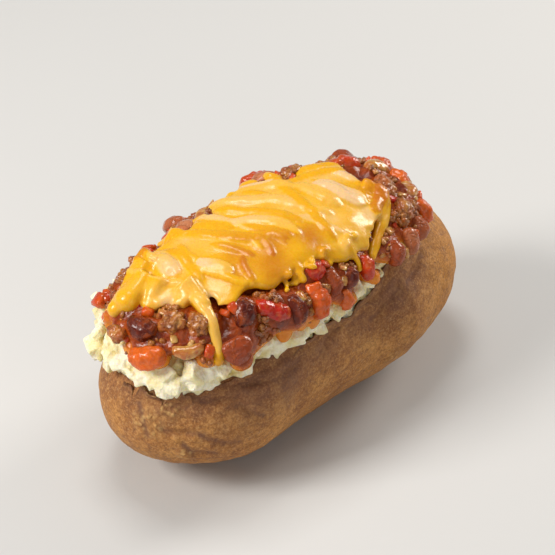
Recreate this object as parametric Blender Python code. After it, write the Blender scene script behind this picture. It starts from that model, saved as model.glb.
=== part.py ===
"""A loaded baked potato, built up as the food itself is.

The potato lies on a small flat spot. It is slit open along its top, and its own loosened flesh fills the
slit and heaps over the rim in crumbly lumps. On the flesh lies chili: sauce and meat, with beans, tomato,
onion and lumps of mince in it as pieces of their own. A sheet of melted cheese covers the ridge and runs
down the sides in drips. Each layer is cut to fit what lies on it, with a hair of air between.

Metres, +Z up, X along the potato. The origin is the middle of the flat spot that it rests on.

Places on the heap are given by a bearing and a reach, both in degrees. The bearing goes round the heap from
its +X end, with 90 at the middle of the +Y side. The reach goes down from the ridge, 0 being the very top
and 90 the level of the rim.
"""

import math

import bmesh
import bpy
from mathutils import Matrix, Vector, noise

# Potato.
BODY_LENGTH = 0.1506
BODY_WIDTH = 0.0762
BODY_HEIGHT = 0.0635
BODY_BLUNTNESS = 2.36  # 2 gives an ellipse at the ends, more is blunter
BASE_SINK = 0.0016  # how much of the round underside the flat spot takes away
BODY_RINGS = 24
BODY_SIDES = 28

# Along the potato: place, width, height of the upper half, shift to +Y in metres. Place and sizes are shares.
BODY_STATIONS = (
    (-1.0, 0.95, 1.00, 0.0000),
    (-0.62, 0.98, 1.00, -0.0004),
    (-0.25, 0.90, 0.97, 0.0010),
    (0.08, 0.89, 0.95, 0.0010),
    (0.45, 1.00, 1.00, -0.0006),
    (1.0, 1.03, 1.00, -0.0008),
)
SWELL_DEPTH = 0.0012
SWELL_LENGTH = 0.026
DIMPLE_DEPTH = 0.0004
DIMPLE_LENGTH = 0.011

# Heap of flesh over the slit, and the trough that it fills.
HEAP_CENTRE = Vector((-0.0062, 0.0006, 0.0484))
HEAP_LENGTH = 0.129
HEAP_WIDTH = 0.058
HEAP_HEIGHT = 0.0215
HEAP_FULLNESS = 2.4

# Where the heap stands out more: bearing, reach, rise and half width.
HEAP_SWELLS = (
    (132, 68, 0.0054, 0.0125),
    (156, 86, 0.0026, 0.0100),
)
TROUGH_DEPTH = 0.0150
RIM_OVERHANG = 0.0020  # how far the flesh lies out over the rim of the skin
CRUMB_SIZE = 0.0085
CRUMB_DEPTH = 0.0026
TUCK = 0.0015  # how much wider than the slit the flesh is before it is cut to fit
FLESH_SIDES = 72
FLESH_REACHES = (45, 62, 68, 74, 80, 86, 92, 99, 112, 136)
TROUGH_SIDES = 44
TROUGH_REACHES = (60, 86, 104, 136)

# Layers: lift of the edge over the flesh, rise of the top and sink of the underside from that edge, and the
# distance over which the edge rounds off.
CHILI_LAYER = (0.0010, 0.0028, 0.0028, 0.0036)
CHEESE_LAYER = (0.0053, 0.0024, 0.0003, 0.0028)
LAYER_SHARES = (0.25, 0.48, 0.68, 0.84, 0.95)  # rings over a layer's top, as shares of its reach
UNDER_SHARES = (0.93, 0.68, 0.36)
CHILI_SIDES = 66
CHEESE_SIDES = 92

# Edges: the plain reach, and then the lobes that run further down or stop short: bearing, reach, half width.
CHILI_REACH = 63
CHILI_LOBES = (
    (-168, 13, 9),
    (-137, 11, 7),
    (-122, 17, 7),
    (-105, 13, 8),
    (-87, 13, 4),
    (-61, 14, 6),
    (-36, 9, 12),
    (2, 7, 18),
    (44, -12, 10),
    (62, 2, 9),
    (82, -26, 11),
    (112, -9, 12),
    (138, -17, 8),
    (163, 4, 9),
)
CHEESE_REACH = 42
CHEESE_LOBES = (
    (-178, 9, 11),
    (-137, 24, 4),
    (-116, 5, 6),
    (-80, 12, 9),
    (-70, 11, 4),
    (-58, 20, 5),
    (-44, 7, 6),
    (-10, -8, 20),
    (24, -5, 10),
    (44, -19, 9),
    (62, -14, 7),
    (84, -9, 10),
    (110, -15, 9),
    (127, -12, 7),
    (158, 13, 9),
)
FOLD_DEPTH = 0.0006
FOLD_LENGTH = 0.0120

GAP = 0.0003  # air between two touching pieces

FLESH_COLOUR = (0.86, 0.80, 0.56, 1.0)
SKIN_COLOUR = (0.36, 0.19, 0.09, 1.0)
CHILI_COLOUR = (0.42, 0.09, 0.02, 1.0)
CHEESE_COLOUR = (0.90, 0.55, 0.07, 1.0)
BEAN_COLOUR = (0.16, 0.03, 0.02, 1.0)
TOMATO_COLOUR = (0.62, 0.05, 0.02, 1.0)
MINCE_COLOUR = (0.25, 0.10, 0.04, 1.0)
ONION_COLOUR = (0.62, 0.36, 0.13, 1.0)

# Toppings. A kind has its colour, its fullness (2 is an egg, 4 a block), its bend and its knobbliness.
KINDS = {
    "bean": (BEAN_COLOUR, 2.3, 0.20, 0.02),
    "tomato": (TOMATO_COLOUR, 3.4, 0.10, 0.06),
    "mince": (MINCE_COLOUR, 2.3, 0.00, 0.22),
    "onion": (ONION_COLOUR, 3.6, 0.28, 0.03),
}
TOPPING_RINGS = 4
TOPPING_SIDES = 8
TOPPING_BED = 0.0043  # lift over the flesh at which the toppings lie on the chili
TOPPING_SUNK = 0.40  # share of the lower half that shows over the sauce

# Kind, bearing, reach, turn from the way round the heap in degrees, and the size in millimetres along,
# across and up.
TOPPINGS = (
    ("tomato", 166, 53, 60, (7.5, 6.5, 5.5)),
    ("bean", -175, 58, 0, (10.5, 7.2, 6.8)),
    ("mince", -160, 53, 10, (8.0, 7.6, 7.0)),
    ("mince", -146, 54, 0, (9.4, 7.8, 7.0)),
    ("tomato", -165, 70, 15, (11.0, 7.0, 6.0)),
    ("onion", -148, 65, 5, (9.5, 4.2, 4.6)),
    ("mince", 172, 66, 0, (6.5, 5.5, 4.5)),
    ("bean", -129, 52, 80, (9.5, 8.0, 7.0)),
    ("tomato", -117, 55, -28, (12.0, 5.8, 5.5)),
    ("bean", -130, 68, 5, (11.0, 8.6, 7.0)),
    ("bean", -108, 60, 86, (10.0, 6.4, 6.4)),
    ("tomato", -96, 46, 0, (6.5, 6.0, 5.5)),
    ("tomato", -99, 61, 84, (11.5, 7.0, 6.0)),
    ("bean", -91, 57, 78, (9.0, 5.6, 5.6)),
    ("tomato", -88, 71, 85, (7.0, 4.8, 4.4)),
    ("bean", -84, 60, 70, (7.0, 6.0, 5.8)),
    ("tomato", -76, 62, 80, (8.5, 5.2, 5.0)),
    ("bean", -63, 67, 60, (9.0, 6.6, 6.4)),
    ("bean", -54, 70, 70, (9.0, 6.6, 6.2)),
    ("bean", -46, 71, 70, (8.6, 6.4, 6.2)),
    ("mince", -29, 46, 0, (9.0, 8.0, 7.0)),
    ("tomato", 13, 42, 40, (8.5, 6.4, 6.0)),
    ("onion", -4, 49, 75, (8.5, 7.0, 5.6)),
    ("tomato", -17, 57, 30, (6.5, 6.0, 5.6)),
    ("onion", -29, 59, 20, (7.0, 5.2, 5.6)),
    ("mince", -43, 57, 0, (9.0, 7.6, 6.4)),
    ("tomato", -36, 70, 80, (8.2, 6.2, 6.0)),
    ("bean", 119, 35, 20, (10.0, 6.6, 5.0)),
    ("onion", 103, 34, 0, (10.0, 5.6, 4.0)),
    ("bean", 62, 36, 0, (10.0, 6.6, 5.0)),
    ("mince", 41, 31, 0, (9.0, 7.6, 6.0)),
    ("bean", 104, 53, 60, (10.5, 7.2, 6.4)),
    ("tomato", 66, 56, 20, (9.5, 7.0, 5.6)),
    ("bean", 26, 58, 80, (10.0, 7.0, 6.0)),
    ("mince", 150, 51, 0, (8.6, 7.4, 5.6)),
    ("tomato", 6, 62, 70, (9.0, 7.0, 5.4)),
)


def clear_scene():
    for obj in list(bpy.data.objects):
        bpy.data.objects.remove(obj, do_unlink=True)


def smoothstep(value):
    share = min(max(value, 0.0), 1.0)
    return share * share * (3.0 - 2.0 * share)


def signed_power(value, exponent):
    return math.copysign(abs(value) ** exponent, value)


def finish(name, colour, roughness):
    material = bpy.data.materials.new(name)
    material.use_nodes = True
    shader = material.node_tree.nodes["Principled BSDF"]
    shader.inputs["Base Color"].default_value = colour
    shader.inputs["Roughness"].default_value = roughness
    shader.inputs["Metallic"].default_value = 0.0
    return material


def make_triangles(mesh):
    """Makes all faces triangles, so that a form and its grown copy are made of the same flat faces."""
    shape = bmesh.new()
    shape.from_mesh(mesh)
    bmesh.ops.triangulate(shape, faces=shape.faces)
    shape.to_mesh(mesh)
    shape.free()


def new_object(name, points, faces, material):
    mesh = bpy.data.meshes.new(name)
    mesh.from_pydata(points, [], faces)
    make_triangles(mesh)
    mesh.shade_smooth()
    obj = bpy.data.objects.new(name, mesh)
    bpy.context.scene.collection.objects.link(obj)
    obj.data.materials.append(material)
    return obj


def ring_faces(rings, sides):
    """Faces of a closed form made of a first point, rings of points and a last point."""
    faces = [(0, 1 + (side + 1) % sides, 1 + side) for side in range(sides)]
    for ring in range(rings - 1):
        first = 1 + ring * sides
        for side in range(sides):
            after = (side + 1) % sides
            faces.append((first + side, first + after, first + sides + after, first + sides + side))
    last = 1 + (rings - 1) * sides
    pole = last + sides
    faces += [(pole, last + side, last + (side + 1) % sides) for side in range(sides)]
    return faces


def grown(obj, amount):
    """A helper copy with its surface moved out by amount, or in where it is negative."""
    copy = obj.copy()
    copy.data = obj.data.copy()
    copy.name = obj.name + "_cutter"
    copy.hide_render = True
    copy.display_type = "WIRE"
    bpy.context.scene.collection.objects.link(copy)
    normals = [vertex.normal.copy() for vertex in copy.data.vertices]
    for vertex, normal in zip(copy.data.vertices, normals):
        vertex.co += normal * amount
    return copy


def boxes_meet(obj, other):
    """Whether the boxes round two objects' points meet."""
    for axis in range(3):
        ours = [vertex.co[axis] for vertex in obj.data.vertices]
        theirs = [vertex.co[axis] for vertex in other.data.vertices]
        if max(ours) < min(theirs) or max(theirs) < min(ours):
            return False
    return True


def cut(obj, cutters):
    """Takes the cutters away from an object one by one, and drops them."""
    for cutter in cutters:
        if boxes_meet(obj, cutter):
            modifier = obj.modifiers.new("cut", "BOOLEAN")
            modifier.operation = "DIFFERENCE"
            modifier.solver = "EXACT"
            modifier.object = cutter
            graph = bpy.context.evaluated_depsgraph_get()
            mesh = bpy.data.meshes.new_from_object(obj.evaluated_get(graph))
            obj.modifiers.clear()
            obj.data = mesh
            make_triangles(mesh)
        bpy.data.objects.remove(cutter, do_unlink=True)
    return obj


# Potato.


def between_stations(stations, place):
    """The sizes at a place along the length, on a smooth curve through the stations."""
    index = 0
    while index < len(stations) - 2 and place > stations[index + 1][0]:
        index += 1
    before = stations[index]
    after = stations[index + 1]
    share = smoothstep((place - before[0]) / (after[0] - before[0]))
    return [low + (high - low) * share for low, high in zip(before[1:], after[1:])]


def body_point(along, turn):
    """A point of the skin. along runs from -1 to 1, and turn goes round from +Y over the top."""
    width, height, shift = between_stations(BODY_STATIONS, along)
    closing = (1.0 - abs(along) ** BODY_BLUNTNESS) ** (1.0 / BODY_BLUNTNESS)
    away = Vector((0.0, math.cos(turn), math.sin(turn)))
    if away.z < 0.0:
        height = 1.0
    point = Vector(
        (
            along * BODY_LENGTH / 2.0,
            shift + away.y * width * closing * BODY_WIDTH / 2.0,
            away.z * height * closing * BODY_HEIGHT / 2.0,
        )
    )
    away.x = 2.0 * along * abs(along)
    swell = SWELL_DEPTH * noise.noise(point / SWELL_LENGTH) + DIMPLE_DEPTH * noise.noise(point / DIMPLE_LENGTH)
    point += away.normalized() * swell
    point.z = max(point.z + BODY_HEIGHT / 2.0 - BASE_SINK, 0.0)
    return point


def body(name, material):
    """The whole potato before it is slit, with its flat spot."""
    points = [body_point(-1.0, 0.0)]
    for ring in range(1, BODY_RINGS):
        along = -math.cos(math.pi * ring / BODY_RINGS)
        points += [body_point(along, math.tau * side / BODY_SIDES) for side in range(BODY_SIDES)]
    points.append(body_point(1.0, 0.0))
    return new_object(name, points, ring_faces(BODY_RINGS - 1, BODY_SIDES), material)


# Heap.


def round_heap(bearing, reach, narrower, depth):
    """A point of the heap without its swells, and the outward direction there."""
    polar = math.radians(reach)
    azimuth = math.radians(bearing)
    direction = Vector(
        (math.sin(polar) * math.cos(azimuth), math.sin(polar) * math.sin(azimuth), math.cos(polar))
    )
    height = HEAP_HEIGHT if direction.z >= 0.0 else depth
    halves = (HEAP_LENGTH / 2.0 - narrower, HEAP_WIDTH / 2.0 - narrower, height)
    norm = sum(abs(part) ** HEAP_FULLNESS for part in direction) ** (1.0 / HEAP_FULLNESS)
    unit = direction / norm
    point = HEAP_CENTRE + Vector([part * half for part, half in zip(unit, halves)])
    normal = Vector([signed_power(part, HEAP_FULLNESS - 1.0) / half for part, half in zip(unit, halves)])
    return point, normal.normalized()


def heap_surface(bearing, reach, lift=0.0, narrower=0.0, depth=TROUGH_DEPTH):
    """A point on or over the flesh, and the outward direction there. depth is that of the part in the slit."""
    point, normal = round_heap(bearing, reach, narrower, depth)
    swell = 0.0
    for there, reached, rise, spread in HEAP_SWELLS:
        centre = round_heap(there, reached, 0.0, TROUGH_DEPTH)[0]
        swell += rise * math.exp(-(((point - centre).length / spread) ** 2))
    return point + normal * (lift + swell), normal


def even_bearings(count, reach_at):
    """Bearings that stand evenly along the edge that reach_at draws round the heap."""
    steps = count * 12
    bearings = [360.0 * step / steps for step in range(steps + 1)]
    edge = [heap_surface(bearing, reach_at(bearing))[0] for bearing in bearings]
    lengths = [0.0]
    for before, after in zip(edge, edge[1:]):
        lengths.append(lengths[-1] + (after - before).length)
    chosen = []
    index = 0
    for number in range(count):
        goal = lengths[-1] * number / count
        while lengths[index + 1] < goal:
            index += 1
        share = (goal - lengths[index]) / (lengths[index + 1] - lengths[index])
        chosen.append(bearings[index] + share * (bearings[index + 1] - bearings[index]))
    return chosen


def crumbs(point):
    """How far the lumps of broken flesh stand out at a point."""
    distances, centres = noise.voronoi(point / CRUMB_SIZE)
    size = 0.55 + 0.45 * noise.cell(centres[0] * 7.0)
    return CRUMB_DEPTH * size * (1.0 - 2.4 * distances[0] ** 2)


def heap_solid(name, sides, reaches, push, narrower, depth, material):
    """A closed form over and under the rim level, as the flesh and the trough are."""
    bearings = even_bearings(sides, lambda bearing: 80.0)
    points = [heap_surface(0.0, 0.0, 0.0, narrower, depth)[0]]
    for reach in reaches:
        for bearing in reversed(bearings):
            point, normal = heap_surface(bearing, reach, 0.0, narrower, depth)
            points.append(point + normal * push(point, reach))
    points.append(heap_surface(0.0, 180.0, 0.0, narrower, depth)[0])
    return new_object(name, points, ring_faces(len(reaches), sides), material)


def flesh_push(point, reach):
    """The lumps show where the flesh is bare. In the slit it stands a little wide, and is cut to fit there."""
    return crumbs(point) if reach < 100 else TUCK


# Layers on the heap.


def edge_reach(bearing, plain, lobes):
    reach = plain
    for centre, amount, half_width in lobes:
        off = (bearing - centre + 180.0) % 360.0 - 180.0
        reach += amount * math.exp(-((off / half_width) ** 2))
    return reach


def layer(name, sides, plain, lobes, sizes, material):
    """A closed sheet over the heap with a rounded edge. Its lobes fade out towards the ridge."""
    edge_lift, rise, sink, rounding = sizes

    def reach_at(bearing, share=1.0):
        return share * (plain + smoothstep(share) * (edge_reach(bearing, plain, lobes) - plain))

    bearings = list(reversed(even_bearings(sides, reach_at)))
    edge = [heap_surface(bearing, reach_at(bearing), edge_lift)[0] for bearing in bearings]

    def layer_point(bearing, share, amount):
        point, normal = heap_surface(bearing, reach_at(bearing, share), edge_lift)
        nearest = min((point - other).length for other in edge)
        slope = 1.0 - min(nearest / rounding, 1.0)
        bulge = math.sqrt(1.0 - slope * slope)
        fold = FOLD_DEPTH * noise.noise(Vector((point.x * 0.6, point.y, point.z)) / FOLD_LENGTH)
        return point + normal * bulge * (amount + (fold if amount > 0.0 else 0.0))

    points = [layer_point(0.0, 0.0, rise)]
    for share in LAYER_SHARES:
        points += [layer_point(bearing, share, rise) for bearing in bearings]
    points += edge
    for share in UNDER_SHARES:
        points += [layer_point(bearing, share, -sink) for bearing in bearings]
    points.append(layer_point(0.0, 0.0, -sink))
    rings = len(LAYER_SHARES) + 1 + len(UNDER_SHARES)
    return new_object(name, points, ring_faces(rings, sides), material)


# Toppings.


def topping_point(unit, size, fullness, bend, knobs, seed):
    """A point of a topping in its own frame: a full egg form, bent along its length and knobbly.

    Its underside is flat, because it lies sunk in the sauce.
    """
    norm = sum(abs(part) ** fullness for part in unit) ** (1.0 / fullness)
    rough = 1.0 + knobs * noise.noise(unit * 2.1 + Vector((seed * 3.7, 0.0, 0.0)))
    point = Vector([part / norm * half * rough for part, half in zip(unit, size)])
    point.y -= bend * size[1] * (1.0 - 2.0 * (point.x / size[0]) ** 2)
    point.z = max(point.z + TOPPING_SUNK * size[2], 0.0)
    return point


def topping(name, number, kind, bearing, reach, turn, size, material):
    fullness, bend, knobs = KINDS[kind][1:]
    bed, normal = heap_surface(bearing, reach, TOPPING_BED)
    onward = heap_surface(bearing + 1.0, reach, TOPPING_BED)[0] - bed
    along = (onward - normal * onward.dot(normal)).normalized()
    along = Matrix.Rotation(math.radians(turn), 3, normal) @ along
    across = normal.cross(along)
    halves = [part / 2000.0 for part in size]
    points = []
    for ring in range(TOPPING_RINGS + 2):
        polar = math.pi * ring / (TOPPING_RINGS + 1)
        sides = TOPPING_SIDES if 0 < ring < TOPPING_RINGS + 1 else 1
        for side in range(sides):
            azimuth = math.tau * (side + 0.5) / TOPPING_SIDES
            unit = Vector(
                (-math.cos(polar), math.sin(polar) * math.cos(azimuth), math.sin(polar) * math.sin(azimuth))
            )
            local = topping_point(unit, halves, fullness, bend, knobs, number)
            points.append(bed + along * local.x + across * local.y + normal * local.z)
    return new_object(name, points, ring_faces(TOPPING_RINGS, TOPPING_SIDES), material)


def all_toppings():
    materials = {kind: finish(kind, values[0], 0.35) for kind, values in KINDS.items()}
    made = []
    counts = dict.fromkeys(KINDS, 0)
    for number, (kind, bearing, reach, turn, size) in enumerate(TOPPINGS):
        counts[kind] += 1
        name = f"{kind}_{counts[kind]:02d}"
        made.append(topping(name, number, kind, bearing, reach, turn, size, materials[kind]))
    return made


def main():
    clear_scene()
    skin = finish("skin", SKIN_COLOUR, 0.75)
    soft = finish("flesh", FLESH_COLOUR, 0.8)
    chili = layer("chili", CHILI_SIDES, CHILI_REACH, CHILI_LOBES, CHILI_LAYER, finish("chili", CHILI_COLOUR, 0.3))
    cheese = layer(
        "cheese", CHEESE_SIDES, CHEESE_REACH, CHEESE_LOBES, CHEESE_LAYER, finish("cheese", CHEESE_COLOUR, 0.3)
    )
    toppings = all_toppings()
    for piece in toppings:
        cut(piece, [grown(cheese, GAP)])

    potato = body("potato", skin)
    trough = heap_solid(
        "trough", TROUGH_SIDES, TROUGH_REACHES, lambda point, reach: 0.0, RIM_OVERHANG, TROUGH_DEPTH, soft
    )
    flesh = heap_solid("flesh", FLESH_SIDES, FLESH_REACHES, flesh_push, 0.0, TROUGH_DEPTH, soft)
    cut(flesh, [grown(chili, GAP)])
    cut(flesh, [cut(grown(potato, GAP), [grown(trough, -GAP)])])
    cut(potato, [trough])


main()
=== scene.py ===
import math
import random

import bpy
from mathutils import Euler, Matrix, Vector, noise
from mathutils.bvhtree import BVHTree
from mathutils.kdtree import KDTree


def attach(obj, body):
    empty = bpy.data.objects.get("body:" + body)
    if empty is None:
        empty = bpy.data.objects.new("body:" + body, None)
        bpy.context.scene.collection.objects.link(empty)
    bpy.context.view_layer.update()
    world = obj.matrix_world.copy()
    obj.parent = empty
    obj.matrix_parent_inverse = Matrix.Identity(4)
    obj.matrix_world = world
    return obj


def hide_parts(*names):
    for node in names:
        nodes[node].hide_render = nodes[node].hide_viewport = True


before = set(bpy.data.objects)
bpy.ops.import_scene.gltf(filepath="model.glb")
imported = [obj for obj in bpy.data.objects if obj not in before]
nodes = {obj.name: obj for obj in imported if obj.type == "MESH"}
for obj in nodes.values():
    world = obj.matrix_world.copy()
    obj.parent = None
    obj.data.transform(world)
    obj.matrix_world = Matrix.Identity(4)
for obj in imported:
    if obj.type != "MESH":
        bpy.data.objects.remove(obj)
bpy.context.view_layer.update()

mm = 0.001

# Camera.

camera = {"azimuth": -48, "elevation": 36, "distance": 0.85, "lens": 163.4, "aim": (3.0, 3.7, 44.4)}


def addCamera():
    azimuth = math.radians(camera["azimuth"])
    elevation = math.radians(camera["elevation"])
    level = math.cos(elevation)
    back = Vector((math.sin(azimuth) * level, -math.cos(azimuth) * level, math.sin(elevation)))
    place = Vector(camera["aim"]) * mm + back * camera["distance"]
    bpy.ops.object.camera_add(location=place, rotation=back.to_track_quat("Z", "Y").to_euler())
    bpy.context.object.data.lens = camera["lens"]
    bpy.context.scene.camera = bpy.context.object
    bpy.context.scene.view_settings.view_transform = "Standard"  # keeps the yellow of the cheese


addCamera()

# Handling of pieces.


def pick(*objs):
    for obj in bpy.context.selected_objects:
        obj.select_set(False)
    for obj in objs:
        obj.select_set(True)
    bpy.context.view_layer.objects.active = objs[0]


def inEdit(piece, work):
    pick(piece)
    bpy.ops.object.mode_set(mode="EDIT")
    bpy.ops.mesh.select_all(action="SELECT")
    work()
    bpy.ops.object.mode_set(mode="OBJECT")


def joined(name, parts):
    pick(*parts)
    if len(parts) > 1:
        bpy.ops.object.join()
    piece = bpy.context.object
    piece.name = name
    piece.data.name = name
    return piece


def copyOfNode(name, nodeName):
    piece = bpy.data.objects.new(name, nodes[nodeName].data.copy())
    bpy.context.scene.collection.objects.link(piece)
    piece.data.materials.clear()
    joined(name, [piece])
    inEdit(piece, lambda: bpy.ops.mesh.remove_doubles(threshold=0.00001))
    if piece.data.has_custom_normals:
        bpy.ops.mesh.customdata_custom_splitnormals_clear()
    return piece


def applied(piece, kind, **settings):
    pick(piece)
    modifier = piece.modifiers.new("shaping", kind)
    for key, value in settings.items():
        setattr(modifier, key, value)
    bpy.ops.object.modifier_apply(modifier=modifier.name)


def smoothed(piece, factor, times):
    applied(piece, "SMOOTH", factor=factor, iterations=times)


def remeshed(piece, voxel, times, factor=0.5):
    # even faces of about the voxel's size, smoothed that many times
    applied(piece, "REMESH", mode="VOXEL", voxel_size=voxel, use_smooth_shade=True)
    smoothed(piece, factor, times)


def pushed(piece, push):
    # moves every point along its normal by what push gives for its place
    mesh = piece.data
    normals = [vertex.normal.copy() for vertex in mesh.vertices]
    for vertex, normal in zip(mesh.vertices, normals):
        vertex.co += normal * push(vertex.co, normal)
    mesh.update()


def treeOf(*objs):
    # the surface of all these together, for finding places on it
    points = []
    faces = []
    for obj in objs:
        first = len(points)
        points += [vertex.co for vertex in obj.data.vertices]
        faces += [[first + index for index in face.vertices] for face in obj.data.polygons]
    return BVHTree.FromPolygons(points, faces)


def table(keys, **rows):
    # a dictionary of settings for each row; a short row leaves out the last ones
    return {name: dict(zip(keys.split(), row)) for name, row in rows.items()}


def step(low, high, value):
    # 0 below low, 1 above high, and a soft rise between
    share = min(max((value - low) / (high - low), 0.0), 1.0)
    return share * share * (3.0 - 2.0 * share)


def lumps(place, size, seed=0.0):
    # soft uneven lumps, about -1 to 1
    return noise.noise(place / size + Vector((seed, seed * 1.7, -seed)))


def pebbles(place, size):
    # round grains that stand side by side, 1 on top and 0 between
    distances = noise.voronoi(place / size)[0]
    return max(0.0, 1.0 - 1.6 * distances[0] ** 2)


def finished(piece, nodeNames, material):
    pick(piece)
    bpy.ops.object.shade_smooth_by_angle(angle=math.pi)
    piece.data.materials.clear()
    piece.data.materials.append(material)
    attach(piece, "root")
    if nodeNames:
        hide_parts(*nodeNames)
    print("made", piece.name, len(piece.data.polygons), "faces")
    return piece


# Places on the heap: the bearing goes round it from +X, the reach goes down from the ridge, both in degrees.

heap = {"centre": Vector((-6.2, 0.6, 48.4)) * mm, "halves": Vector((64.5, 29.0, 21.5)) * mm}


def onHeap(tree, bearing, reach):
    polar = math.radians(reach)
    azimuth = math.radians(bearing)
    wide, deep, tall = heap["halves"]
    across = math.sin(polar)
    away = Vector((across * math.cos(azimuth) * wide, across * math.sin(azimuth) * deep, math.cos(polar) * tall))
    return tree.ray_cast(heap["centre"] + away * 2.4, -away)[:2]


def fromAbove(tree, x, y):
    return tree.ray_cast(Vector((x, y, 0.2)), Vector((0, 0, -1)))[0]


# Shader maths.


class Value:
    # a socket that ordinary sums can be written with
    def __init__(self, tree, socket):
        self.tree = tree
        self.socket = socket

    def maths(self, operation, first, second=None):
        node = self.tree.nodes.new("ShaderNodeMath")
        node.operation = operation
        for place, item in enumerate((first, second)):
            if isinstance(item, Value):
                self.tree.links.new(item.socket, node.inputs[place])
            elif item is not None:
                node.inputs[place].default_value = item
        return Value(self.tree, node.outputs[0])

    def __add__(self, other):
        return self.maths("ADD", self, other)

    def __sub__(self, other):
        return self.maths("SUBTRACT", self, other)

    def __rsub__(self, other):
        return self.maths("SUBTRACT", other, self)

    def __mul__(self, other):
        return self.maths("MULTIPLY", self, other)


class Finish:
    # a material and the nodes that make it; glow is the weight, colours and depth of the light under the
    # surface, coat is the weight and roughness of a wet coat
    def __init__(self, name, glow=(), coat=(), **fixed):
        self.material = bpy.data.materials.new(name)
        self.material.use_nodes = True
        self.tree = self.material.node_tree
        self.shader = self.tree.nodes["Principled BSDF"]
        fixed.update(zip(("Subsurface_Weight", "Subsurface_Radius", "Subsurface_Scale"), glow))
        fixed.update(zip(("Coat_Weight", "Coat_Roughness"), coat))
        for socket, value in fixed.items():
            self.shader.inputs[socket.replace("_", " ")].default_value = value
        self.place = self.node("ShaderNodeTexCoord", {}, "Object")

    def node(self, kind, settings, output, **sockets):
        # sockets go by name, or by number as in0
        node = self.tree.nodes.new(kind)
        for key, value in settings.items():
            setattr(node, key, value)
        for key, value in sockets.items():
            socket = node.inputs[int(key[2:]) if key.startswith("in") else key.replace("_", " ")]
            if isinstance(value, Value):
                self.tree.links.new(value.socket, socket)
            else:
                socket.default_value = value
        return Value(self.tree, node.outputs[output])

    def ramp(self, value, *stops):
        # colours by value; each stop is a position and a colour
        colour = self.node("ShaderNodeValToRGB", {}, "Color", Fac=value)
        elements = colour.socket.node.color_ramp.elements
        for number, (position, tone) in enumerate(stops):
            if number > 1:
                elements.new(position)
            elements[number].position = position
            elements[number].color = (*tone, 1.0)
        return colour

    def noise(self, size, detail=3.0, roughness=0.6, distortion=0.0, where=None):
        sockets = {"Detail": detail, "Roughness": roughness, "Distortion": distortion}
        return self.node("ShaderNodeTexNoise", {}, "Fac", Vector=where or self.place, Scale=1.0 / size, **sockets)

    def cells(self, size):
        return self.node("ShaderNodeTexVoronoi", {}, "Distance", Vector=self.place, Scale=1.0 / size)

    def stretched(self, scale):
        return self.node("ShaderNodeMapping", {}, "Vector", Vector=self.place, Scale=scale)

    def attribute(self, name):
        return self.node("ShaderNodeAttribute", {"attribute_name": name}, "Fac")

    def ranged(self, value, low, high, bottom=0.0, top=1.0):
        settings = {"interpolation_type": "SMOOTHSTEP"}
        ends = {"From_Min": low, "From_Max": high, "To_Min": bottom, "To_Max": top}
        return self.node("ShaderNodeMapRange", settings, "Result", Value=value, **ends)

    def blend(self, share, first, second):
        first = (*first, 1.0) if isinstance(first, tuple) else first
        second = (*second, 1.0) if isinstance(second, tuple) else second
        return self.node("ShaderNodeMix", {"data_type": "RGBA"}, 2, in0=share, in6=first, in7=second)

    def sauced(self, colour, amount, size=0.0032):
        # streaks of sauce over a topping, and how thick they lie
        mask = self.ranged(self.noise(size, 3.0, 0.6, 0.8), 0.46, 0.60)
        return self.blend(mask * amount, colour, (0.400, 0.074, 0.007)), mask

    def set(self, socket, value):
        self.tree.links.new(value.socket, self.shader.inputs[socket])

    def relief(self, *layers):
        # each layer is a height and the depth in metres that 1 stands for
        normal = None
        for height, depth in layers:
            sockets = {"Height": height, "Distance": depth, "Strength": 1.0}
            if normal:
                sockets["Normal"] = normal
            normal = self.node("ShaderNodeBump", {}, "Normal", **sockets)
        self.set("Normal", normal)

    def done(self, colour, rough, *layers):
        # rough holds a value, the range of it that counts, and the roughness at both ends
        self.set("Base Color", colour)
        self.set("Roughness", self.ranged(*rough))
        self.relief(*layers)
        return self.material


# Skin: the whole potato with its slit.

skin = {
    "voxel": 0.0009, "smooth": 10, "lump": 0.0005, "lumpSizes": (0.014, 0.006),
    "wrinkle": 0.00016, "wrinkleSize": 0.0022, "eyeShare": 0.6, "scabRise": 0.00055,
    "scabGrain": 0.0018, "creaseSteps": 24, "wander": 0.0014, "wanderSize": 0.006,
    "groove": 1.4, "grooveWidth": 0.0011, "lip": 0.7, "lipAway": 0.0028,
    "lipWidth": 0.0014, "creaseShade": 1.3, "shadeWidth": 0.0010, "flatBelow": 0.0012,
}

# Places in mm, then a size in mm. An eye also has its depth in mm.
eyes = (
    (-52, -30, 22, 3.4, 0.7), (-26, -36, 24, 2.6, 0.5), (30, -34, 34, 3.0, 0.6),
    (58, -22, 26, 2.6, 0.5), (10, 34, 26, 3.0, 0.6), (-48, 30, 30, 2.8, 0.5),
)
scabs = (
    (-72.5, -9, 34.5, 5.2), (-69, -14, 39, 3.6), (-66, -18, 23, 3.2), (-30, -36, 24, 2.4),
    (20, -34, 20, 3.0), (40, 34, 24, 3.6), (-40, 32, 30, 3.0),
)
shades = (
    (-44, -28, 42, 11), (-30, -32, 40, 10), (-12, -33, 44, 9), (6, -34, 45, 9),
    (22, -33, 46, 8), (-60, -20, 44, 6), (-66, -13, 44, 5),
)

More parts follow.
